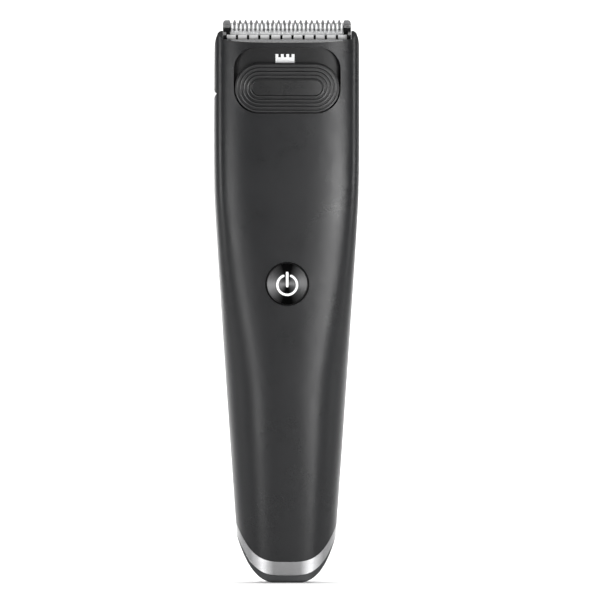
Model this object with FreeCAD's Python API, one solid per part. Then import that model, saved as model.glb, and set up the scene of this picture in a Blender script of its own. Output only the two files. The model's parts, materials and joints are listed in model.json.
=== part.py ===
import FreeCAD, Part
import math
import os
from FreeCAD import Placement, Rotation, Vector

os.makedirs("parts", exist_ok=True)

# Beard trimmer, millimetres.  +X right, front faces -Y, +Z up, origin on the base.

# ---- driving dimensions -------------------------------------------------
HEIGHT = 160.0              # base to blade tips
HALF_WIDTH = 20.7           # widest half width of the body
HALF_DEPTH = 16.0           # deepest half depth of the body
TAPER_START = 111.5         # the body narrows below this height
WALL = 2.0                  # housing wall
SEAM = 0.05                 # half the gap in a visible seam

BLADE_TILT = 35.0           # blade leans forward from the vertical, degrees
TIP_Y = -10.0               # blade tips in depth
RIM_T = -1.06               # shoulder plane, along the blade from the tips
RIM_V = -4.05               # rear wedge plane below the skin plane
POCKET_V = -5.8             # floor of the pocket for the blade frame
POCKET_X = 18.26
POCKET_T = -27.9
OPENING_X = 16.5
OPENING_T = -26.6

BAND_LOW = 2.04             # trim band lower edge at the centre
BAND_HIGH = 5.96            # trim band upper edge at the centre

BUTTON_Z = 84.85
BUTTON_R = 5.7
RING_R = 6.3
BUTTON_TRAVEL = 0.5

PANEL_W = 30.35
PANEL_LOW = 133.2
PANEL_HIGH = 152.0
SLIDER_W = 29.8
SLIDER_H = 14.1
SLIDER_LOW = 133.5
SLIDER_TRAVEL = 3.0

CUTTER_HALF = 16.1          # 32.2 mm cutter
CUTTER_TEETH = 27
CUTTER_PITCH = 1.194
FIXED_HALF = 18.2
FIXED_TEETH = 20
FIXED_PITCH = 1.565
COMB_HALF = 17.05
COMB_SLOTS = 10
COMB_PITCH = 3.157
STROKE = 0.75               # cutter travel each way, equal to the eccentricity

HINGE_T = -29.5
HINGE_V = -2.4

MOTOR_Y = -3.0
MOTOR_LOW = 91.0
MOTOR_HIGH = 123.0
CELL_R = 7.0
CELL_LOW = 33.0
CELL_LENGTH = 50.0

SCREW_SPOTS = [(-9.0, 24.0), (9.0, 24.0), (-14.6, 104.0), (14.6, 104.0)]


# ---- helpers ------------------------------------------------------------
def box(x0, x1, y0, y1, z0, z1):
    return Part.makeBox(x1 - x0, y1 - y0, z1 - z0, Vector(x0, y0, z0))


def rod(radius, start, direction, length):
    return Part.makeCylinder(radius, length, Vector(*start), Vector(*direction))


def prism(points, push):
    corners = [Vector(*p) for p in points]
    return Part.Face(Part.makePolygon(corners + [corners[0]])).extrude(Vector(*push))


def prism_yz(points, x0, x1):
    return prism([(x0, y, z) for y, z in points], (x1 - x0, 0, 0))


def join(shapes):
    return shapes[0].multiFuse(shapes[1:]).removeSplitter()


def tilted(shape):
    """Blade coordinates (x, v toward the skin, t toward the tips) to the frame."""
    moved = shape.copy()
    moved.Placement = Placement(Vector(0, TIP_Y, HEIGHT), Rotation(Vector(1, 0, 0), BLADE_TILT))
    return moved


def export(shape, node):
    if isinstance(shape, list):
        shape = Part.Compound(shape)
    shape.exportStep("parts/" + node + ".step")


# ---- the outer form -----------------------------------------------------
def half_width(z):
    gap = TAPER_START - z
    drop = 0.5 * (gap + math.sqrt(gap * gap + 36.0))
    return HALF_WIDTH - 0.0603 * drop - 7.03e-5 * drop * drop


def front_depth(z):
    return HALF_DEPTH - 4.0 * (max(0.0, 130.0 - z) / 130.0) ** 2


def rear_depth(z):
    return HALF_DEPTH - 4.0 * (max(0.0, 105.0 - z) / 105.0) ** 2


def blend(z, low, high):
    s = min(1.0, max(0.0, (z - low) / (high - low)))
    return s * s * (3.0 - 2.0 * s)


def outline(z, inset, count=56):
    """Evenly spaced points round the body section at height z."""
    power_x = 2.7 + 0.5 * blend(z, 50.0, 130.0)
    power_y = 2.9 + 8.1 * blend(z, 50.0, 130.0)
    fine = []
    steps = 2880
    for i in range(steps):
        turn = 2.0 * math.pi * i / steps
        c = math.cos(turn)
        s = math.sin(turn)
        depth = rear_depth(z) if s > 0 else front_depth(z)
        x = math.copysign(abs(c) ** (2.0 / power_x), c) * (half_width(z) - inset)
        y = math.copysign(abs(s) ** (2.0 / power_y), s) * (depth - inset)
        fine.append((x, y))
    # arc length of one quarter at a time keeps the section mirror symmetric
    points = []
    quarter = steps // 4
    for q in range(4):
        run = [fine[(q * quarter + i) % steps] for i in range(quarter + 1)]
        along = [0.0]
        for a, b in zip(run, run[1:]):
            along.append(along[-1] + math.hypot(b[0] - a[0], b[1] - a[1]))
        k = 0
        for j in range(count // 4):
            target = along[-1] * j / (count // 4)
            while along[k + 1] < target:
                k += 1
            share = (target - along[k]) / (along[k + 1] - along[k])
            x = run[k][0] + share * (run[k + 1][0] - run[k][0])
            y = run[k][1] + share * (run[k + 1][1] - run[k][1])
            points.append(Vector(x, y, z))
    return points


def body_form(inset, heights):
    rings = []
    for z in heights:
        curve = Part.BSplineCurve()
        curve.interpolate(Points=outline(z, inset), PeriodicFlag=True)
        rings.append(Part.Wire([curve.toShape()]))
    return Part.makeLoft(rings, True, False, False, 5)


FULL_HEIGHTS = [-3.0 + 7.5 * i for i in range(23)]
LOWER_HEIGHTS = FULL_HEIGHTS[:6]
UPPER_HEIGHTS = FULL_HEIGHTS[17:]


def base_region(centre, rise, reach, power, up):
    """Everything above (or below) a bowl shaped curve, extruded through the depth."""
    spots = []
    for i in range(-16, 17):
        spots.append(Vector(i, -30, centre + rise * (abs(i) / reach) ** power))
    curve = Part.BSplineCurve()
    curve.interpolate(Points=spots)
    level = 300.0 if up else -60.0
    corners = [spots[-1], Vector(40, -30, spots[-1].z), Vector(40, -30, level)]
    corners += [Vector(-40, -30, level), Vector(-40, -30, spots[0].z), spots[0]]
    edge = Part.Wire([curve.toShape()] + Part.makePolygon(corners).Edges)
    return Part.Face(edge).extrude(Vector(0, 60, 0))


def stadium(width, height, x, z, y0, y1):
    r = height / 2.0
    parts = [box(x - width / 2 + r, x + width / 2 - r, y0, y1, z - r, z + r)]
    parts.append(rod(r, (x - width / 2 + r, y0, z), (0, 1, 0), y1 - y0))
    parts.append(rod(r, (x + width / 2 - r, y0, z), (0, 1, 0), y1 - y0))
    return join(parts)


def round_rect(width, low, high, r_low, r_high, y0, y1):
    half = width / 2.0
    parts = [box(-half, half, y0, y1, low + r_low, high - r_high)]
    parts.append(box(-half + r_low, half - r_low, y0, y1, low, low + r_low + 0.5))
    parts.append(box(-half + r_high, half - r_high, y0, y1, high - r_high - 0.5, high))
    for side in (-1, 1):
        parts.append(rod(r_low, (side * (half - r_low), y0, low + r_low), (0, 1, 0), y1 - y0))
        parts.append(rod(r_high, (side * (half - r_high), y0, high - r_high), (0, 1, 0), y1 - y0))
    return join(parts)


# ---- housing ------------------------------------------------------------
outer = body_form(0.0, FULL_HEIGHTS)
inner = body_form(WALL, FULL_HEIGHTS)

above_base = base_region(-0.25, 13.55, 14.1, 3.38, True).common(box(-40, 40, -40, 40, 0, 200))
above_band_low = base_region(BAND_LOW, 11.5, 14.1, 3.45, True)
below_band_low = base_region(BAND_LOW, 11.5, 14.1, 3.45, False)
above_band_high = base_region(BAND_HIGH, 11.1, 14.4, 3.45, True)
below_band_high = base_region(BAND_HIGH - 0.1, 11.1, 14.4, 3.45, False)
above_seam = base_region(BAND_HIGH - 0.1, 11.1, 14.4, 3.45, True)
below_frame_top = base_region(BAND_HIGH + 2.0, 11.1, 14.4, 3.45, False)

# the head end: shoulder plane, rear wedge plane, bevelled shoulders, scooped lip
head_cut = [tilted(box(-40, 40, -60, 60, RIM_T, 60))]
head_cut.append(tilted(box(-40, 40, RIM_V, 60, -90, 60)))
for side in (-1, 1):
    bevel = [(side * 18.85, RIM_V + 0.01, -90), (side * 26, RIM_V + 0.01, -90)]
    bevel += [(side * 26, RIM_V - 1.0, -90), (side * 19.86, RIM_V - 1.0, -90)]
    head_cut.append(tilted(prism(bevel, (0, 0, 120))))
    lo, hi = sorted((side * POCKET_X, side * 26))
    facet = [(-4.4, -1.07), (-12.0, -4.3), (-12.0, 9.0), (-4.4, 9.0)]
    head_cut.append(tilted(prism_yz(facet, lo, hi)))
scoop = [(-17.4, -13, RIM_T), (-15.8, -13, -2.0), (15.8, -13, -2.0), (17.4, -13, RIM_T)]
scoop += [(17.4, -13, 9), (-17.4, -13, 9)]
head_cut.append(tilted(prism(scoop, (0, 10, 0))))
head_cut.append(box(-POCKET_X, POCKET_X, -20, -10, 154.3, 170))
head_cut.append(tilted(box(-POCKET_X, POCKET_X, POCKET_V, 40, POCKET_T, 30)))

cavity = inner.common(tilted(box(-40, 40, -250, RIM_V - WALL, -250, 40)))
ledge = tilted(box(-40, 40, POCKET_V - WALL, 0, POCKET_T - WALL, 40))
opening = inner.common(tilted(box(-OPENING_X, OPENING_X, -14, 5, OPENING_T, 40)))
cavity = cavity.cut(ledge).fuse(opening)

housing = outer.common(above_band_high).cut(cavity)
for tool in head_cut:
    housing = housing.cut(tool)

panel_hole = round_rect(PANEL_W, PANEL_LOW, PANEL_HIGH, 7.1, 6.2, -20, -12)
button_hole = rod(RING_R, (0, -20, BUTTON_Z), (0, 1, 0), 8)
front_shell = housing.common(box(-40, 40, -40, -SEAM, -5, 200)).cut(panel_hole).cut(button_hole)
back_shell = housing.common(box(-40, 40, SEAM, 40, -5, 200))

# screw bosses: tubes inside the rear shell, posts inside the front shell
inside = body_form(WALL - 0.4, FULL_HEIGHTS)
rear_tubes = []
front_posts = []
for x, z in SCREW_SPOTS:
    rear_tubes.append(rod(2.9, (x, 1.0, z), (0, 1, 0), 14).common(inside))
    post = rod(2.4, (x, -14.5, z), (0, 1, 0), 15.4).common(inside)
    front_posts.append(post.cut(rod(1.0, (x, -8, z), (0, 1, 0), 12)))
back_shell = join([back_shell] + rear_tubes)
front_shell = join([front_shell] + front_posts)
for x, z in SCREW_SPOTS:
    back_shell = back_shell.cut(rod(2.35, (x, 9.0, z), (0, 1, 0), 12))
    back_shell = back_shell.cut(rod(1.15, (x, 0, z), (0, 1, 0), 12))
export(front_shell, "front_shell")
export(back_shell, "back_shell")

screws = []
for x, z in SCREW_SPOTS:
    head = rod(2.1, (x, 9.0, z), (0, 1, 0), 1.5)
    shank = rod(1.0, (x, -6.0, z), (0, 1, 0), 15.0)
    slot = box(x - 1.3, x + 1.3, 9.9, 10.6, z - 0.25, z + 0.25)
    cross = box(x - 0.25, x + 0.25, 9.9, 10.6, z - 1.3, z + 1.3)
    screws.append(head.fuse(shank).cut(slot).cut(cross))
export(screws, "housing_screws")

# ---- base ---------------------------------------------------------------
band_inner = body_form(1.5, LOWER_HEIGHTS)
lower_outer = body_form(0.0, LOWER_HEIGHTS)
band = lower_outer.cut(band_inner).common(above_band_low).common(below_band_high)
export(band, "trim_band")

above_cap_top = base_region(BAND_LOW - 0.1, 11.5, 14.1, 3.45, False)
cap = lower_outer.common(above_base).common(above_cap_top)
cap = cap.fuse(box(-5.2, 5.2, -8.2, 8.2, 1.0, 5.4).common(body_form(3.4, LOWER_HEIGHTS)))
cap = cap.cut(box(-3.4, 3.4, -6.3, 6.3, -1, 4.6)).cut(box(-1.75, 1.75, -4.65, 4.65, 4, 7))
edges = []
for edge in cap.Edges:
    middle = edge.valueAt((edge.FirstParameter + edge.LastParameter) / 2.0)
    low = abs(middle.y) > 9.0 and middle.z < 0.6
    if low and edge.Length > 4.0:
        edges.append(edge)
try:
    softened = cap.makeChamfer(0.6, edges)
    if softened.isValid():
        cap = softened
except Exception:
    pass
export(cap, "base_cap")

frame_outer = body_form(1.55, LOWER_HEIGHTS)
frame_inner = body_form(3.2, LOWER_HEIGHTS)
shell_zone = above_seam.cut(body_form(WALL + 0.05, LOWER_HEIGHTS))
base_frame = frame_outer.cut(frame_inner).common(above_band_low)
base_frame = base_frame.common(below_frame_top).cut(shell_zone)
export(base_frame, "base_frame")

socket = box(-1.65, 1.65, -4.55, 4.55, 4.62, 10.0).cut(box(-1.35, 1.35, -4.25, 4.25, 4, 9.4))
tongue = box(-0.35, 0.35, -3.4, 3.4, 5.3, 9.4)
export(socket, "charging_socket")
export(tongue, "socket_tongue")
export(box(-6.0, 6.0, -7.5, 7.5, 10.05, 11.25), "charge_board")

# ---- slider panel, icon and thumb slider --------------------------------
face = {}
for depth in (0.15, 0.35, 0.6, 0.85, 1.1, 1.35, 2.05, 2.3, 2.45, 2.6, 3.4, 3.45):
    face[depth] = body_form(depth, UPPER_HEIGHTS)

front_only = box(-40, 40, -40, -5, 120, 170)
panel = round_rect(PANEL_W + 2.6, PANEL_LOW - 1.3, PANEL_HIGH + 0.6, 8.3, 6.8, -20, -10)
panel = panel.common(face[2.05].cut(face[3.4])).common(front_only).cut(panel_hole.cut(face[2.6]))
panel = panel.cut(box(-4.2, 4.2, -20, -5, 137.2, 146.4))
export(panel, "slider_panel")

icon = [box(-3.3, 2.1, -20, -10, 146.7, 149.25)]
for i in range(4):
    x = -3.3 + i * 1.527
    icon.append(box(x, x + 0.82, -20, -10, 149.1, 150.15))
icon = join(icon).common(face[2.45].cut(face[2.6]))
export(icon, "comb_icon")

slider_z = SLIDER_LOW + SLIDER_H / 2.0
slider = stadium(SLIDER_W, SLIDER_H, 0, slider_z, -20, -8).common(face[0.15].cut(face[2.3]))
slider = slider.common(front_only)
step = 0
for depth in (0.35, 0.6, 0.85, 1.1, 1.35):
    shrink = 1.3 + 2.1 * step
    step += 1
    dish = stadium(SLIDER_W - shrink, SLIDER_H - shrink, 0, slider_z, -20, -8).cut(face[depth])
    slider = slider.cut(dish)
export(slider, "thumb_slider")

# link: neck through the panel slot, plate behind it, jaws round the carrier pin
link = [box(-3.6, 3.6, -13.66, -12.2, 138.0, 142.6)]
link.append(box(-5.0, 5.0, -12.3, -11.5, 136.5, 148.8))
link.append(box(-5.0, 5.0, -11.6, -7.2, 145.2, 146.1))
link.append(box(-5.0, 5.0, -11.6, -7.2, 147.9, 148.8))
link = join(link).cut(box(-1.6, 1.6, -11.4, -7, 147, 150))
export(link, "slider_link")

# ---- thinning comb and its carrier --------------------------------------
comb = box(-COMB_HALF, COMB_HALF, -3.6, -3.05, -9.6, -3.15)
for i in range(COMB_SLOTS):
    x = (i - (COMB_SLOTS - 1) / 2.0) * COMB_PITCH
    comb = comb.cut(box(x - 0.325, x + 0.325, -5, -2, -7.6, 0))
comb = comb.cut(prism_yz([(-3.61, -4.35), (-3.05, -3.14), (-3.61, -3.14)], -30, 30))
export(tilted(comb), "thinning_comb")

carrier = tilted(box(-4.4, 4.4, -3.6, -3.05, -11.0, -9.6))
strut = prism_yz([(-7.0, 150.0), (-8.6, 147.75), (-7.8, 146.4), (-6.15, 148.8)], -1.2, 1.2)
pin = rod(0.8, (-3.4, -8.3, 147.0), (1, 0, 0), 6.8)
clear = tilted(box(-6, 6, -3.06, 3, -20, 0))
export(join([carrier, strut.cut(clear), pin]), "comb_carrier")

guide = prism_yz([(-13.9, 153.8), (-13.9, 151.0), (-8.35, 151.0), (-10.3, 153.8)], -16.3, 16.3)
guide = guide.common(tilted(box(-30, 30, -30, -3.75, -30, 20)))
guide = guide.cut(box(-6, 6, -20, -5, 150, 153.0)).common(face[2.05])
guide = guide.cut(box(-30, 30, -30, 0, 140, 152.85).cut(face[3.45]))
export(guide, "comb_guide")

# ---- blades -------------------------------------------------------------
def tooth(x, foot, top, t0, t1, v0, v1):
    points = [(x - foot / 2, v0, t0), (x - foot / 2, v0, t1 - 0.9), (x - top / 2, v0, t1 - 0.25)]
    points += [(x - top / 4, v0, t1), (x + top / 4, v0, t1), (x + top / 2, v0, t1 - 0.25)]
    points += [(x + foot / 2, v0, t1 - 0.9), (x + foot / 2, v0, t0)]
    return prism(points, (0, v1 - v0, 0))


plate = box(-FIXED_HALF, FIXED_HALF, -1.2, 0, -26, -0.85)
fixed = [plate.cut(box(-16.0, 16.0, -1.3, -0.55, -4.3, -2.5))]
for i in range(FIXED_TEETH):
    x = (i - (FIXED_TEETH - 1) / 2.0) * FIXED_PITCH
    fixed.append(tooth(x, 0.82, 0.66, -1.6, 0.15, -1.2, 0))
guard = [(16.1, -1.6), (16.1, -0.3), (16.35, 0.15), (17.3, 0.15), (17.85, -0.1), (18.2, -0.65), (18.2, -1.6)]
for side in (-1, 1):
    fixed.append(prism([(side * x, -1.2, t) for x, t in guard], (0, 1.2, 0)))
fixed = join(fixed)
skin_bevel = [(0.5, -2.6), (0.02, -2.6), (-0.3, 0.3), (0.5, 0.3)]
fixed = fixed.cut(prism_yz(skin_bevel, -30, 30))
tip_bevel = [(-1.5, -0.75), (-1.2, -0.75), (-0.8, 0.3), (-1.5, 0.3)]
fixed = fixed.cut(prism_yz(tip_bevel, -30, 30))
for side in (-1, 1):
    fixed = fixed.cut(rod(0.85, (side * 9, -3, -23), (0, 1, 0), 6))
export(tilted(fixed), "fixed_blade")

cutter = [box(-CUTTER_HALF, CUTTER_HALF, -2.25, -1.25, -19.5, -2.82)]
for i in range(CUTTER_TEETH):
    x = (i - (CUTTER_TEETH - 1) / 2.0) * CUTTER_PITCH
    cutter.append(tooth(x, 0.54, 0.46, -2.9, -0.5, -2.25, -1.25))
cutter = join(cutter)
tip_bevel = [(-2.25, -1.48), (-3, -1.48), (-3, 0), (-1.55, -0.4)]
cutter = cutter.cut(prism_yz(tip_bevel, -30, 30))
hollow = [(-2.3, -3.4), (-2.3, -9.5), (-1.95, -9.0), (-1.95, -4.4)]
cutter = cutter.cut(prism_yz(hollow, -30, 30))
export(tilted(cutter), "cutter_blade")

# drive block: slab under the cutter and two prongs either side of the eccentric pin
prongs = [box(-4.4, -2.65, -5.2, -0.8, 135.6, 150), box(2.65, 4.4, -5.2, -0.8, 135.6, 150)]
prongs.append(box(-4.4, 4.4, -5.2, -0.8, 135.6, 150).common(tilted(box(-10, 10, -3.9, 0, -40, 0))))
drive = join(prongs).common(tilted(box(-10, 10, -40, -2.26, -40, 0)))
export(drive, "drive_block")

# ---- blade frame --------------------------------------------------------
frame = [box(-FIXED_HALF, FIXED_HALF, -5.5, -1.21, -27.6, -19.9)]
for side in (-1, 1):
    lo, hi = sorted((side * 17.3, side * FIXED_HALF))
    frame.append(box(lo, hi, -5.5, -1.21, -27.6, -1.6))
    lo, hi = sorted((side * 16.1, side * FIXED_HALF))
    frame.append(box(lo, hi, -2.95, -2.4, -9.0, -0.75))
    lo, hi = sorted((side * 12.0, side * 16.0))
    frame.append(rod(1.5, (lo, HINGE_V, HINGE_T), (1, 0, 0), 4.0))
    frame.append(box(lo, hi, -3.9, -1.25, HINGE_T, -27.5))
frame = join(frame)
for side in (-1, 1):
    lo = min(side * 12.0, side * 16.0)
    frame = frame.cut(rod(0.85, (lo - 0.5, HINGE_V, HINGE_T), (1, 0, 0), 5.0))
    frame = frame.cut(rod(0.7, (side * 9, -4.5, -23), (0, 1, 0), 6))
frame = frame.cut(box(-6.2, 6.2, -6, -1.21, -25.8, -19))
export(tilted(frame), "blade_frame")

export(tilted(rod(0.8, (-16.4, HINGE_V, HINGE_T), (1, 0, 0), 32.8)), "hinge_pin")
bracket = []
for side in (-1, 1):
    lo, hi = sorted((side * 8.0, side * 11.7))
    lug = join([rod(1.5, (lo, HINGE_V, HINGE_T), (1, 0, 0), 3.7),
                box(lo, hi, RIM_V, HINGE_V, HINGE_T - 1.5, HINGE_T + 1.5)])
    bracket.append(lug.cut(rod(0.8, (lo - 1, HINGE_V, HINGE_T), (1, 0, 0), 6)))
export([tilted(lug) for lug in bracket], "hinge_bracket")

blade_screws = []
for side in (-1, 1):
    head = rod(1.6, (side * 9, 0, -23), (0, 1, 0), 0.7)
    shank = rod(0.7, (side * 9, -4.4, -23), (0, 1, 0), 4.5)
    slot = box(side * 9 - 1.1, side * 9 + 1.1, 0.3, 1, -23.2, -22.8)
    cross = box(side * 9 - 0.2, side * 9 + 0.2, 0.3, 1, -24.1, -21.9)
    blade_screws.append(tilted(head.fuse(shank).cut(slot).cut(cross)))
export(blade_screws, "blade_screws")

wire = []
for side in (-1, 1):
    wire.append(rod(0.3, (side * 9, -2.65, -13.5), (0, 0, -1), 6.35))
wire.append(rod(0.3, (-9, -2.65, -13.5), (1, 0, 0), 0.9))
wire.append(rod(0.3, (9, -2.65, -13.5), (-1, 0, 0), 0.9))
export([tilted(join([wire[0], wire[2]])), tilted(join([wire[1], wire[3]]))], "cutter_spring")

# ---- motor and drive ----------------------------------------------------
def can_form(radius, flat, z0, z1):
    round_part = rod(radius, (0, MOTOR_Y, z0), (0, 0, 1), z1 - z0)
    return round_part.common(box(-30, 30, MOTOR_Y - flat, MOTOR_Y + flat, z0 - 1, z1 + 1))


can = can_form(10.2, 7.7, MOTOR_LOW, MOTOR_HIGH).cut(can_form(9.4, 6.9, MOTOR_LOW - 1, MOTOR_HIGH - 0.8))
can = can.cut(rod(2.95, (0, MOTOR_Y, MOTOR_HIGH - 2), (0, 0, 1), 4))
export(can, "motor_can")
bush = rod(2.9, (0, MOTOR_Y, MOTOR_HIGH - 1.5), (0, 0, 1), 3.5)
export(bush.cut(rod(1.04, (0, MOTOR_Y, 110), (0, 0, 1), 30)), "motor_bush")
end_cap = can_form(10.2, 7.7, 89.0, MOTOR_LOW - 0.02).fuse(can_form(9.3, 6.8, 90.5, 93.0))
export(end_cap.cut(rod(1.04, (0, MOTOR_Y, 80), (0, 0, 1), 20)), "motor_end_cap")
ring = rod(9.2, (0, MOTOR_Y, 96), (0, 0, 1), 22).cut(rod(7.9, (0, MOTOR_Y, 95), (0, 0, 1), 24))
ring = ring.common(box(-30, 30, MOTOR_Y - 5, MOTOR_Y + 5, 90, 130))
export(ring, "motor_magnets")
rotor = rod(6.4, (0, MOTOR_Y, 97), (0, 0, 1), 20)
for i in range(3):
    turn = math.radians(120 * i + 90)
    slot = box(-0.8, 0.8, 3.2, 8, 96, 118)
    slot.rotate(Vector(0, 0, 0), Vector(0, 0, 1), 120 * i + 60)
    slot.translate(Vector(0, MOTOR_Y, 0))
    rotor = rotor.cut(slot)
rotor = rotor.fuse(rod(2.6, (0, MOTOR_Y, 94), (0, 0, 1), 3.5))
export(rotor.cut(rod(1.0, (0, MOTOR_Y, 80), (0, 0, 1), 60)), "motor_armature")
export(rod(1.0, (0, MOTOR_Y, 88.2), (0, 0, 1), 42.3), "motor_shaft")
hub = rod(3.6, (0, MOTOR_Y, 126.2), (0, 0, 1), 4.8).fuse(rod(2.0, (0, MOTOR_Y, 125.6), (0, 0, 1), 0.8))
hub = hub.cut(rod(1.0, (0, MOTOR_Y, 120), (0, 0, 1), 10.5))
hub = hub.cut(rod(1.0, (0, MOTOR_Y - STROKE, 130.6), (0, 0, 1), 5))
export(hub, "eccentric_hub")
export(rod(1.0, (0, MOTOR_Y - STROKE, 130.6), (0, 0, 1), 8.6), "eccentric_pin")
mount = box(-14.5, 14.5, -11.4, 5.4, MOTOR_HIGH + 0.02, MOTOR_HIGH + 1.6)
mount = mount.cut(rod(2.92, (0, MOTOR_Y, 120), (0, 0, 1), 10))
motor_screws = []
for side in (-1, 1):
    mount = mount.cut(rod(0.9, (side * 6, MOTOR_Y, 120), (0, 0, 1), 10))
    head = rod(1.7, (side * 6, MOTOR_Y, MOTOR_HIGH + 1.6), (0, 0, 1), 1.1)
    head = head.cut(box(side * 6 - 1.2, side * 6 + 1.2, MOTOR_Y - 0.2, MOTOR_Y + 0.2, MOTOR_HIGH + 2.2, 140))
    motor_screws.append(head.fuse(rod(0.85, (side * 6, MOTOR_Y, MOTOR_HIGH + 0.1), (0, 0, 1), 1.6)))
export(mount, "motor_mount")
export(motor_screws, "motor_screws")

# ---- chassis, cell, boards ----------------------------------------------
chassis = [box(-7.5, 7.5, -9.3, -8.2, 28.0, 89.0)]
chassis.append(box(-8.0, 8.0, -9.3, 7.5, 28.0, 31.5))
chassis.append(box(-8.0, 8.0, -9.3, 7.5, 84.2, 85.6))
for side in (-1, 1):
    lo, hi = sorted((side * 7.2, side * 8.6))
    chassis.append(box(lo, hi, -9.3, 5.5, 28.0, 85.6))
    lo, hi = sorted((side * 10.3, side * 11.5))
    chassis.append(box(lo, hi, -7.0, 4.0, 86.5, MOTOR_HIGH))
    chassis.append(box(lo - 3.0 * (side > 0), hi + 3.0 * (side < 0), -7.0, 4.0, 84.5, 86.6))
chassis.append(box(-2, 2, -9.3, -8.2, 24.0, 29.0))
export(join(chassis), "chassis")

cell = rod(CELL_R, (0, 0, CELL_LOW), (0, 0, 1), CELL_LENGTH)
export(cell.fuse(rod(3.0, (0, 0, CELL_LOW + CELL_LENGTH), (0, 0, 1), 0.5)), "battery_cell")
tabs = [box(-2.5, 2.5, -7.0, 4.0, CELL_LOW + CELL_LENGTH + 0.52, CELL_LOW + CELL_LENGTH + 0.8)]
tabs.append(box(-2.5, 2.5, -7.0, 4.0, CELL_LOW - 0.5, CELL_LOW - 0.2))
export(tabs, "battery_tabs")

board = box(-7.0, 7.0, -10.9, -9.7, 44.0, 88.5)
export(board, "circuit_board")
switch = box(-2.3, 2.3, -11.7, -10.92, BUTTON_Z - 2.3, BUTTON_Z + 2.3)
switch = switch.fuse(rod(1.0, (0, -12.1, BUTTON_Z), (0, 1, 0), 0.5))
export(switch, "push_switch")
chips = [box(-4.5, 0.5, -11.6, -10.92, 66, 71), box(2.5, 5.5, -11.5, -10.92, 68, 70)]
chips.append(box(-5.0, -2.5, -11.6, -10.92, 56, 60))
export(chips, "board_chips")

leads = []
for x in (-4.2, 4.2):
    leads.append(box(x - 0.6, x + 0.6, -7.3, -6.5, 11.27, 27.95))
export(leads, "supply_leads")

# ---- power button -------------------------------------------------------
button = rod(BUTTON_R, (0, -15.5, BUTTON_Z), (0, 1, 0), 2.3)
dish = Part.makeSphere(160.0, Vector(0, -15.3 - 160.0 + 0.1, BUTTON_Z))
button = button.cut(dish)
button = button.fuse(rod(6.9, (0, -13.3, BUTTON_Z), (0, 1, 0), 0.45))
button = button.fuse(rod(1.5, (0, -12.9, BUTTON_Z), (0, 1, 0), 0.25))

icon_ring = rod(3.12, (0, -15.38, BUTTON_Z - 0.28), (0, 1, 0), 0.3)
icon_ring = icon_ring.cut(rod(2.48, (0, -16, BUTTON_Z - 0.28), (0, 1, 0), 2))
gap = math.tan(math.radians(23.0)) * 5.0
icon_ring = icon_ring.cut(prism([(0, -17, BUTTON_Z - 0.28), (gap, -17, BUTTON_Z + 4.72),
                                 (-gap, -17, BUTTON_Z + 4.72)], (0, 4, 0)))
ends = []
for side in (-1, 1):
    x = side * 2.8 * math.sin(math.radians(23.0))
    z = BUTTON_Z - 0.28 + 2.8 * math.cos(math.radians(23.0))
    ends.append(rod(0.32, (x, -15.38, z), (0, 1, 0), 0.3))
icon_ring = join([icon_ring] + ends)
bar = box(-0.37, 0.37, -15.38, -15.08, BUTTON_Z - 0.58, BUTTON_Z + 3.11)
bar = bar.fuse(rod(0.37, (0, -15.38, BUTTON_Z - 0.58), (0, 1, 0), 0.3))
bar = bar.fuse(rod(0.37, (0, -15.38, BUTTON_Z + 3.11), (0, 1, 0), 0.3))
export(button.cut(icon_ring).cut(bar), "power_button")
export([icon_ring, bar], "power_icon")

ring = rod(RING_R - 0.02, (0, -15.62, BUTTON_Z), (0, 1, 0), 2.15)
ring = ring.cut(rod(5.85, (0, -17, BUTTON_Z), (0, 1, 0), 6))
export(ring, "button_ring")

# ---- index mark on the left side ----------------------------------------
skin = body_form(-0.12, UPPER_HEIGHTS).cut(body_form(0.0, UPPER_HEIGHTS))
mark = prism([(-24, -13.0, 138.9), (-24, -10.8, 137.7), (-24, -10.8, 140.1)], (8, 0, 0))
export(mark.common(skin), "index_mark")
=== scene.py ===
import json
import math
import bpy
import bmesh
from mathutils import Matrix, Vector


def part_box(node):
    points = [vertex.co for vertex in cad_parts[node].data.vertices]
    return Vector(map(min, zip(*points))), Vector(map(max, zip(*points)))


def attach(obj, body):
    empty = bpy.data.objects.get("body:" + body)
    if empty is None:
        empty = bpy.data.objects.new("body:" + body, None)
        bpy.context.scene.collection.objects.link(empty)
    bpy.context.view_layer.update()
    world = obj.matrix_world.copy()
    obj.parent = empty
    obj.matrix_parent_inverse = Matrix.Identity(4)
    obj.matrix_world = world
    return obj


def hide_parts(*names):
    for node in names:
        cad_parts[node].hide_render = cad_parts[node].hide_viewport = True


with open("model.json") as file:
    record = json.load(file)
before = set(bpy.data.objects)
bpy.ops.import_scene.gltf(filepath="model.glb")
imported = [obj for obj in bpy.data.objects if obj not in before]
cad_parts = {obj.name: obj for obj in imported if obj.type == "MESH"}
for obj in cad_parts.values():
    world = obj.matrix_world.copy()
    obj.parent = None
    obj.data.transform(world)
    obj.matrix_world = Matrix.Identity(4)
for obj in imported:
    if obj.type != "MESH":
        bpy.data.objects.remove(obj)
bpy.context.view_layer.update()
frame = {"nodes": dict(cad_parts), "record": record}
NODES = frame["nodes"]
SLOT_OF = {s["node"]: s["material_slot"] for s in frame["record"]["subparts"]}
MM = 0.001

# sizes shared with the CAD, in mm
BODY_HALF_WIDTH = 20.7
BODY_HALF_DEPTH = 16.0
BODY_TAPER_START = 111.5
UPPER_HALF_WIDTH = 20.68        # at the slider, where the taper has just begun
SECTION_POWER_X = 3.2           # roundness of the body section across, at the slider
SECTION_POWER_Y = 11.0          # and front to back
BLADE_LEAN = math.radians(35)
BLADE_TIP = (0.0, -0.010, 0.160)
BLADE_UP = (0.0, -math.sin(BLADE_LEAN), math.cos(BLADE_LEAN))
REAR_PLANE = -4.05              # plane that cuts the back of the head, below the blade's skin side


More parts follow.
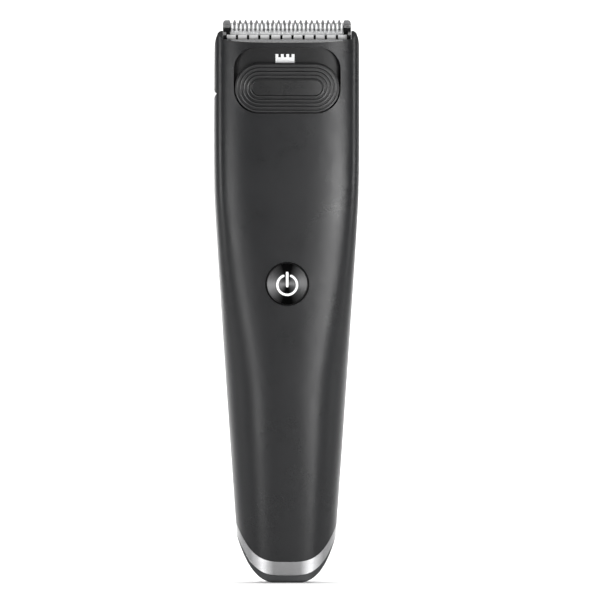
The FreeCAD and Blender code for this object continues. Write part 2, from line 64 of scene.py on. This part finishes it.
# ---------------------------------------------------------------- materials
class Graph:
    """A small wrapper that keeps the node code short."""

    def __init__(self, name):
        self.mat = bpy.data.materials.new(name)
        self.mat.use_nodes = True
        self.tree = self.mat.node_tree
        self.tree.nodes.clear()
        self.out = self.tree.nodes.new("ShaderNodeOutputMaterial")
        self.shader = self.tree.nodes.new("ShaderNodeBsdfPrincipled")
        self.link(self.shader.outputs[0], self.out.inputs[0])
        self.coords = self.tree.nodes.new("ShaderNodeTexCoord").outputs["Object"]

    def link(self, a, b):
        self.tree.links.new(a, b)

    def node(self, kind, **settings):
        made = self.tree.nodes.new(kind)
        for key, value in settings.items():
            setattr(made, key, value)
        return made

    def place(self, scale=(1, 1, 1), offset=(0, 0, 0), turn=(0, 0, 0)):
        mapping = self.node("ShaderNodeMapping")
        mapping.inputs["Scale"].default_value = scale
        mapping.inputs["Location"].default_value = offset
        mapping.inputs["Rotation"].default_value = turn
        self.link(self.coords, mapping.inputs["Vector"])
        return mapping.outputs[0]

    def noise(self, per_mm, vector=None, detail=3.0, rough=0.55):
        made = self.node("ShaderNodeTexNoise")
        made.inputs["Scale"].default_value = per_mm / MM
        made.inputs["Detail"].default_value = detail
        made.inputs["Roughness"].default_value = rough
        self.link(vector or self.coords, made.inputs["Vector"])
        return made.outputs[0]

    def cells(self, per_mm, vector=None):
        made = self.node("ShaderNodeTexVoronoi", feature="F1")
        made.inputs["Scale"].default_value = per_mm / MM
        self.link(vector or self.coords, made.inputs["Vector"])
        return made.outputs["Distance"]

    def ramp(self, value, low, high, low_at=0.3, high_at=0.7):
        made = self.node("ShaderNodeMapRange", clamp=True)
        made.inputs["From Min"].default_value = low_at
        made.inputs["From Max"].default_value = high_at
        made.inputs["To Min"].default_value = low
        made.inputs["To Max"].default_value = high
        self.link(value, made.inputs["Value"])
        return made.outputs[0]

    def colours(self, value, dark, light, low_at=0.3, high_at=0.7):
        made = self.node("ShaderNodeMix", data_type="RGBA")
        self.link(self.ramp(value, 0.0, 1.0, low_at, high_at), made.inputs["Factor"])
        made.inputs["A"].default_value = (*dark, 1)
        made.inputs["B"].default_value = (*light, 1)
        return made.outputs["Result"]

    def between(self, value, start, full, fading, gone):
        """1 between full and fading, 0 before start and after gone."""
        made = self.node("ShaderNodeMath", operation="MULTIPLY")
        self.link(self.ramp(value, 0.0, 1.0, start, full), made.inputs[0])
        self.link(self.ramp(value, 1.0, 0.0, fading, gone), made.inputs[1])
        return made.outputs[0]

    def add(self, a, b, weight=1.0):
        made = self.node("ShaderNodeMath", operation="MULTIPLY_ADD")
        self.link(b, made.inputs[0])
        made.inputs[1].default_value = weight
        self.link(a, made.inputs[2])
        return made.outputs[0]

    def bump(self, height, depth_mm, strength=1.0):
        made = self.node("ShaderNodeBump")
        made.inputs["Distance"].default_value = depth_mm * MM
        made.inputs["Strength"].default_value = strength
        self.link(height, made.inputs["Height"])
        self.link(made.outputs[0], self.shader.inputs["Normal"])

    def set(self, **values):
        names = {"metal": "Metallic", "specular": "Specular IOR Level", "aniso": "Anisotropic",
                 "rough": "Roughness"}
        for key, value in values.items():
            self.shader.inputs[names[key]].default_value = value


def tint(colour, factor):
    return tuple(min(1.0, c * factor) for c in colour)


def moulded(name, colour, rough=0.45, grain=4.0, depth=0.006, spread=0.10, specular=0.5):
    """Moulded plastic: fine spark-eroded grain, faint mottling and uneven gloss."""
    g = Graph(name)
    broad = g.noise(0.06, detail=4.0)
    fine = g.noise(grain, detail=2.0)
    tone = g.add(broad, fine, 0.25)
    g.link(g.colours(tone, tint(colour, 1 - spread), tint(colour, 1 + spread), 0.35, 0.85),
           g.shader.inputs["Base Color"])
    g.link(g.ramp(g.add(broad, fine, 0.4), rough - 0.05, rough + 0.06, 0.4, 1.0),
           g.shader.inputs["Roughness"])
    g.bump(g.add(fine, g.cells(grain * 0.7), 0.6), depth)
    g.set(specular=specular)
    return g.mat


LEAN = (-BLADE_LEAN, 0, 0)


def brushed(name, colour, rough=0.30, along="x", lines=9.0, depth=0.003, spread=0.12, turn=(0, 0, 0),
            metal=1.0, strip=None, painted_highlight_at=None):
    """Brushed or ground metal: long fine scratches along one axis.

    strip is a low and a high level in mm along the blade and the colour painted between them, as a painted
    band that is bright for a highlight and dark for shade; the last argument is where a painted highlight
    brightens the metal, in mm off the middle.
    """
    g = Graph(name)
    stretch = {"x": (0.03, 1, 1), "y": (1, 0.03, 1), "z": (1, 1, 0.03), "xy": (0.03, 0.03, 1)}[along]
    vector = g.place(stretch, turn=turn)
    scratch = g.noise(lines, vector, detail=3.0, rough=0.7)
    coarse = g.noise(lines * 0.18, vector, detail=2.0)
    cloud = g.noise(0.05, detail=2.0)
    tone = g.add(scratch, coarse, 0.6)
    surface = g.colours(tone, tint(colour, 1 - spread), tint(colour, 1 + spread), 0.45, 1.15)
    # painted light and shade band: a flat colour between two levels along the blade, used for a painted
    # highlight across the roots of the fixed blade's teeth and for painted shade on the cutter's root under
    # the comb
    if strip is not None:
        low, high, painted_band_colour = strip
        reach = g.node("ShaderNodeVectorMath", operation="DOT_PRODUCT")
        g.link(g.coords, reach.inputs[0])
        reach.inputs[1].default_value = BLADE_UP
        tip = Vector(BLADE_TIP).dot(Vector(BLADE_UP))
        soft = 0.15 * MM
        painted_band_mask = g.between(reach.outputs["Value"], tip + low * MM - soft, tip + low * MM + soft,
                           tip + high * MM - soft, tip + high * MM + soft)
        painted_band_mix = g.node("ShaderNodeMix", data_type="RGBA")
        g.link(painted_band_mask, painted_band_mix.inputs["Factor"])
        g.link(surface, painted_band_mix.inputs["A"])
        painted_band_mix.inputs["B"].default_value = (*painted_band_colour, 1)
        surface = painted_band_mix.outputs["Result"]
    # painted highlight: a bright patch on each side of the middle, standing in for the lamps' reflection on
    # the band
    if painted_highlight_at is not None:
        apart = g.node("ShaderNodeSeparateXYZ")
        g.link(g.coords, apart.inputs[0])
        off = g.node("ShaderNodeMath", operation="ABSOLUTE")
        g.link(apart.outputs[0], off.inputs[0])
        painted_highlight_mask = g.between(off.outputs[0], (painted_highlight_at - 3.2) * MM, painted_highlight_at * MM,
                         (painted_highlight_at + 0.4) * MM, (painted_highlight_at + 3.4) * MM)
        painted_highlight_patch = g.node("ShaderNodeMix", data_type="RGBA")
        g.link(painted_highlight_mask, painted_highlight_patch.inputs["Factor"])
        g.link(surface, painted_highlight_patch.inputs["A"])
        g.link(g.colours(tone, tint(colour, 2.1), tint(colour, 3.3), 0.45, 1.15), painted_highlight_patch.inputs["B"])
        surface = painted_highlight_patch.outputs["Result"]
    g.link(surface, g.shader.inputs["Base Color"])
    g.link(g.ramp(g.add(tone, cloud, 0.3), rough - 0.06, rough + 0.10, 0.6, 1.4),
           g.shader.inputs["Roughness"])
    g.bump(tone, depth)
    g.set(metal=metal)
    return g.mat


def spun(name, colour, centre, rough):
    """Turned metal: concentric rings about an axis along Y, with painted shade above and below the middle
    standing in for the dark fans of its reflection.
    """
    g = Graph(name)
    apart = g.node("ShaderNodeSeparateXYZ")
    g.link(g.place(offset=(-centre[0], 0, -centre[2])), apart.inputs[0])
    flat = g.node("ShaderNodeCombineXYZ")
    g.link(apart.outputs[0], flat.inputs[0])
    g.link(apart.outputs[2], flat.inputs[2])
    length = g.node("ShaderNodeVectorMath", operation="LENGTH")
    g.link(flat.outputs[0], length.inputs[0])
    along = g.node("ShaderNodeCombineXYZ")
    g.link(length.outputs["Value"], along.inputs[0])
    rings = g.noise(3.0, along.outputs[0], detail=3.0, rough=0.7)
    outward = g.node("ShaderNodeVectorMath", operation="NORMALIZE")
    g.link(flat.outputs[0], outward.inputs[0])
    parts = g.node("ShaderNodeSeparateXYZ")
    g.link(outward.outputs["Vector"], parts.inputs[0])
    aside = g.node("ShaderNodeMath", operation="ABSOLUTE")
    g.link(parts.outputs[0], aside.inputs[0])
    # painted shade: near black above and below the middle, the rings' own colour to the left and right,
    # standing in for the dark and bright fans of the spun metal's reflection
    painted_fan_shade = g.node("ShaderNodeMix", data_type="RGBA")
    g.link(g.ramp(aside.outputs[0], 0.0, 1.0, 0.26, 0.86), painted_fan_shade.inputs["Factor"])
    painted_fan_shade.inputs["A"].default_value = (*tint(colour, 0.05), 1)
    g.link(g.colours(rings, tint(colour, 0.8), tint(colour, 1.25)), painted_fan_shade.inputs["B"])
    g.link(painted_fan_shade.outputs["Result"], g.shader.inputs["Base Color"])
    g.link(g.ramp(rings, rough - 0.05, rough + 0.07), g.shader.inputs["Roughness"])
    g.bump(rings, 0.002)
    g.link(outward.outputs["Vector"], g.shader.inputs["Tangent"])
    g.set(metal=1.0, aniso=0.85)
    return g.mat


def printed(name, colour):
    g = Graph(name)
    cloud = g.noise(1.2, detail=3.0)
    g.link(g.colours(cloud, tint(colour, 0.93), tint(colour, 1.03)), g.shader.inputs["Base Color"])
    g.link(g.ramp(cloud, 0.32, 0.46), g.shader.inputs["Roughness"])
    g.bump(g.noise(9.0), 0.003)
    return g.mat


button_mid = [(a + b) / 2 for a, b in zip(*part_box("power_button"))]
MATERIALS = {
    "housing_grey": moulded("housing_plastic", (0.0065, 0.0068, 0.0078), 0.29, grain=5.0, depth=0.004,
                            specular=0.30),
    "panel_black": moulded("panel_plastic", (0.006, 0.006, 0.0065), 0.38, grain=7.0, depth=0.004,
                           specular=0.25),
    "slider_black": moulded("slider_plastic", (0.005, 0.005, 0.0055), 0.30, grain=7.0, depth=0.002,
                            specular=0.40),
    "icon_white": printed("white_print", (0.95, 0.955, 0.96)),
    # trim band: brushed metal with a painted highlight a little off the middle on each side
    "band_brushed": brushed("band_metal", (0.24, 0.24, 0.244), 0.20, along="xy", lines=10.0, painted_highlight_at=7.0),
    # power button: spun metal with painted shade above and below its middle
    "button_spun": spun("button_metal", (0.072, 0.072, 0.073), button_mid, 0.30),
    "ring_black": moulded("ring_plastic", (0.002, 0.002, 0.0022), 0.35, grain=9.0, depth=0.001,
                          specular=0.08),
    "base_dark": moulded("base_plastic", (0.016, 0.017, 0.019), 0.42, grain=5.0, depth=0.005),
    "frame_black": moulded("frame_plastic", (0.005, 0.005, 0.0055), 0.44, grain=6.0, depth=0.005),
    # fixed blade: dark steel with a painted highlight band across the roots of its teeth
    "blade_steel": brushed("blade_metal", (0.12, 0.121, 0.123), 0.36, lines=12.0, turn=LEAN,
                           metal=0.4, strip=(-4.0, -0.95, (0.46, 0.462, 0.466))),
    # cutter: bright steel with painted shade darkening its root, hidden under the comb
    "cutter_steel": brushed("cutter_metal", (0.88, 0.885, 0.89), 0.45, lines=12.0, turn=LEAN, metal=0.30,
                            strip=(-60.0, -4.0, (0.012, 0.012, 0.013))),
    "comb_silver": brushed("comb_metal", (0.92, 0.92, 0.925), 0.45, lines=12.0, turn=LEAN, metal=0.15),
    "screw_steel": brushed("screw_metal", (0.42, 0.43, 0.45), 0.30, along="x", lines=8.0),
    "spring_steel": brushed("spring_metal", (0.38, 0.39, 0.41), 0.34, along="z", lines=8.0),
    "drive_white": moulded("acetal", (0.62, 0.61, 0.57), 0.38, grain=3.0, spread=0.04),
    "motor_can_steel": brushed("can_metal", (0.46, 0.47, 0.48), 0.34, along="z", lines=5.0),
    "motor_cap": moulded("cap_plastic", (0.05, 0.05, 0.06), 0.5),
    "bush_brass": brushed("bush_metal", (0.55, 0.40, 0.17), 0.36, along="xy", lines=6.0),
    "magnet_dark": moulded("ferrite", (0.05, 0.05, 0.055), 0.6, grain=2.5, depth=0.02),
    "rotor_steel": brushed("lamination_metal", (0.30, 0.25, 0.20), 0.42, along="xy", lines=4.0),
    "chassis_grey": moulded("chassis_plastic", (0.18, 0.19, 0.20), 0.5),
    "cell_wrap": moulded("cell_film", (0.02, 0.10, 0.26), 0.25, grain=1.2, depth=0.004),
    "nickel_strip": brushed("nickel", (0.60, 0.59, 0.55), 0.30, along="z", lines=6.0),
    "board_green": moulded("solder_mask", (0.015, 0.11, 0.05), 0.35, grain=2.0),
    "chip_black": moulded("chip_epoxy", (0.015, 0.015, 0.016), 0.5),
    "lead_red": moulded("lead_cover", (0.30, 0.02, 0.02), 0.4),
}

for name, obj in NODES.items():
    material = MATERIALS[SLOT_OF[name]]
    if not obj.material_slots:
        obj.data.materials.append(material)
    for place in obj.material_slots:
        place.material = material


# ---------------------------------------------------------------- ribbed slider
EDGE_ROUND = 0.16               # radius of the slider's rim
RIBS = 5
FIRST_RIB = 0.50                # from the rim to the first crest
RIB_PITCH = 1.04
RIB_HALF_WIDTH = 0.30
STEP_DOWN = 0.24                # each rib stands this much lower than the one outside it
FLAT_START = 4.66               # the plain middle begins here
FLAT_DEPTH = 1.40
UNDERSIDE = 2.25                # inset of the slider's back face
SAMPLE = 0.04                   # spacing of the loops across the ribs


def slider_depth(d):
    """Depth below the body skin at distance d inside the slider's edge, in mm."""
    if d < EDGE_ROUND:
        return 0.42 - 0.22 * math.sqrt(max(0.0, 1.0 - (1.0 - d / EDGE_ROUND) ** 2))
    rib = min(RIBS - 1, max(0, round((d - FIRST_RIB) / RIB_PITCH)))
    away = abs(d - FIRST_RIB - RIB_PITCH * rib) / RIB_HALF_WIDTH
    floor_step = (d - FIRST_RIB) / RIB_PITCH + 0.5
    level = 0.20 + STEP_DOWN * min(float(RIBS), max(0.0, math.floor(floor_step)))
    if d > FLAT_START:
        level = FLAT_DEPTH
    crest = 0.14 + STEP_DOWN * rib
    if away >= 1.0:
        return level
    share = 0.5 + 0.5 * math.cos(math.pi * away)
    return level + (crest - level) * share


def make_object(name, bm, node, smooth):
    """Turn the mesh into an object with the material of a CAD node."""
    bmesh.ops.recalc_face_normals(bm, faces=bm.faces)
    mesh = bpy.data.meshes.new(name)
    bm.to_mesh(mesh)
    bm.free()
    for face in mesh.polygons:
        face.use_smooth = smooth
    made = bpy.data.objects.new(name, mesh)
    bpy.context.scene.collection.objects.link(made)
    made.data.materials.append(MATERIALS[SLOT_OF[node]])
    return made


def ribbed_slider():
    """Thumb slider with rounded concentric ribs that follow the body's curve."""
    low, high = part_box("thumb_slider")
    middle_z = (low[2] + high[2]) / 2 / MM
    radius = (high[2] - low[2]) / 2 / MM
    spine = (high[0] - low[0]) / 2 / MM - radius

    def skin(x, inset):
        across = min(0.999, abs(x) / (UPPER_HALF_WIDTH - inset))
        return -(BODY_HALF_DEPTH - inset) * (1.0 - across ** SECTION_POWER_X) ** (1.0 / SECTION_POWER_Y)

    def loop(d, inset):
        r = max(0.015, radius - d)
        spots = []
        for side in (1, -1):
            for i in range(33):
                turn = math.pi * (i / 32 - 0.5) * side
                spots.append((side * (spine + r * math.cos(turn)), middle_z + r * math.sin(turn)))
            for i in range(1, 16):
                spots.append((side * spine * (1 - i / 8), middle_z + side * r))
        return [bm.verts.new((x * MM, skin(x, inset) * MM, z * MM)) for x, z in spots]

    bm = bmesh.new()
    loops = [loop(d, UNDERSIDE) for d in (radius, 5.2, 2.6, 0.0)] + [loop(0.0, 0.9)]
    d = 0.0
    while d < 5.2:
        loops.append(loop(d, slider_depth(d)))
        d += SAMPLE
    for d in (5.6, 6.2, 6.7, radius):
        loops.append(loop(d, slider_depth(d)))
    for a, b in zip(loops, loops[1:]):
        for i in range(len(a)):
            j = (i + 1) % len(a)
            bm.faces.new((a[i], a[j], b[j], b[i]))
    made = make_object("ribbed_slider", bm, "thumb_slider", smooth=True)
    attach(made, "slider_body")
    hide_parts("thumb_slider")


ribbed_slider()


# ---------------------------------------------------------------- seam tongue
TONGUE_LOW = 17.2               # just above the trim band at the sides
TONGUE_END_GAP = 0.12           # below the rear plane of the head
TONGUE_STEPS = 40
TONGUE_CORNERS = ((0.45, -0.5), (0.45, 0.5), (1.35, 0.5), (1.35, -0.5))    # inset from the skin, y


def half_width(z):
    gap = BODY_TAPER_START - z
    drop = 0.5 * (gap + math.sqrt(gap * gap + 36.0))
    return BODY_HALF_WIDTH - 0.0603 * drop - 7.03e-5 * drop * drop


def rear_plane(y):
    """Height of the head's rear plane at depth y."""
    return 160.0 + (REAR_PLANE - (y + 10.0) * math.cos(BLADE_LEAN)) / math.sin(BLADE_LEAN)


def seam_tongue():
    """Thin lip inside the wall on both sides that closes the seam between the shells."""
    bm = bmesh.new()
    for side in (-1, 1):
        rings = []
        for i in range(TONGUE_STEPS + 1):
            ring = []
            for inset, y in TONGUE_CORNERS:
                reach = rear_plane(y) - TONGUE_END_GAP - TONGUE_LOW
                z = TONGUE_LOW + reach * i / TONGUE_STEPS
                ring.append(bm.verts.new((side * (half_width(z) - inset) * MM, y * MM, z * MM)))
            rings.append(ring)
        for a, b in zip(rings, rings[1:]):
            for i in range(4):
                j = (i + 1) % 4
                bm.faces.new((a[i], a[j], b[j], b[i]))
        bm.faces.new(rings[0])
        bm.faces.new(rings[-1])
    made = make_object("seam_tongue", bm, "front_shell", smooth=False)
    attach(made, "housing")


seam_tongue()


# ---------------------------------------------------------------- studio
def sweep(width, depth, height, radius):
    """Floor that curves up into a backdrop."""
    mesh = bpy.data.meshes.new("studio_floor")
    bm = bmesh.new()
    profile = [(-depth, 0.0), (depth - radius, 0.0)]
    for i in range(1, 13):
        turn = math.pi / 2 * i / 12
        profile.append((depth - radius + radius * math.sin(turn), radius - radius * math.cos(turn)))
    profile.append((depth, height))
    rows = [[bm.verts.new((x, y, z)) for x in (-width, width)] for y, z in profile]
    for a, b in zip(rows, rows[1:]):
        bm.faces.new((a[0], a[1], b[1], b[0]))
    bm.to_mesh(mesh)
    bm.free()
    for face in mesh.polygons:
        face.use_smooth = True
    obj = bpy.data.objects.new("studio_floor", mesh)
    obj.location.z = -0.1 * MM
    bpy.context.scene.collection.objects.link(obj)
    g = Graph("pale_paper")
    g.link(g.colours(g.noise(0.01), (0.86, 0.86, 0.86), (0.90, 0.90, 0.90)), g.shader.inputs["Base Color"])
    g.bump(g.noise(0.8), 0.02)
    g.set(rough=0.9, specular=0.1)
    g.shader.inputs["Emission Color"].default_value = (1, 1, 1, 1)
    g.shader.inputs["Emission Strength"].default_value = 0.2
    obj.data.materials.append(g.mat)


sweep(9.0, 6.2, 8.0, 1.8)


def area_light(name, where, aim, size, size_y, power):
    data = bpy.data.lights.new(name, "AREA")
    data.shape = "RECTANGLE"
    data.size = size
    data.size_y = size_y
    data.energy = power
    obj = bpy.data.objects.new(name, data)
    obj.location = where
    obj.rotation_euler = (Vector(aim) - Vector(where)).to_track_quat("-Z", "Y").to_euler()
    bpy.context.scene.collection.objects.link(obj)


def softbox(name, azimuth, distance, height, size, size_y, radiance):
    """An upright softbox seen from the object at that azimuth to the right of the front."""
    turn = math.radians(azimuth)
    where = (distance * math.sin(turn), -distance * math.cos(turn), height)
    area_light(name, where, (0, 0, height), size, size_y, radiance * math.pi * size * size_y)


# Each side has a leaning strip of three boxes, nearer the front at the head end.
# name, azimuth in degrees to the right of the front, height in m, radiance
STRIPS = (
    ("key_high", 14, 0.140, 14.0),
    ("key_middle", 21, 0.098, 36.0),
    ("key_low", 29, 0.052, 14.0),
    ("fill_high", -21, 0.140, 8.5),
    ("fill_middle", -29, 0.098, 12.0),
    ("fill_low", -38, 0.052, 4.0),
)
STRIP_DISTANCE = 0.55
for name, azimuth, height, radiance in STRIPS:
    softbox(name, azimuth, STRIP_DISTANCE, height, 0.13, 0.042, radiance)
for name, azimuth in (("key_base", 30), ("fill_base", -30)):
    softbox(name, azimuth, STRIP_DISTANCE, 0.018, 0.12, 0.030, 16.0)
for name, azimuth in (("edge_right", 76), ("edge_left", -76)):
    softbox(name, azimuth, 0.60, 0.125, 0.20, 0.100, 8.0)
area_light("top_soft", (0.0, -0.25, 0.95), (0, 0, 0.08), 0.8, 0.6, 1.5)
area_light("back_wash", (0.0, 1.75, 5.8), (0, 5.8, 0.8), 9.3, 1.9, 750.0)

world = bpy.data.worlds.new("studio_air")
bpy.context.scene.world = world
world.use_nodes = True
world.node_tree.nodes["Background"].inputs[0].default_value = (1, 1, 1, 1)
world.node_tree.nodes["Background"].inputs[1].default_value = 0.10

# ---------------------------------------------------------------- camera
CAMERA_DISTANCE = 4.0
PICTURE_WIDTH = 0.1710          # width of the view at the object
SENSOR_MM = 36.0
ASIDE = math.radians(1.0)       # the camera stands this far to the left of the front

lens = bpy.data.cameras.new("front_camera")
lens.sensor_width = SENSOR_MM
lens.lens = SENSOR_MM * CAMERA_DISTANCE / PICTURE_WIDTH
lens.clip_start = 0.5
lens.clip_end = 20.0
camera = bpy.data.objects.new("front_camera", lens)
camera.location = (0.00390 - CAMERA_DISTANCE * math.sin(ASIDE), -CAMERA_DISTANCE * math.cos(ASIDE), 0.0803)
camera.rotation_euler = (math.radians(90), 0, -ASIDE)
bpy.context.scene.collection.objects.link(camera)
bpy.context.scene.camera = camera
bpy.context.scene.view_settings.view_transform = "Standard"
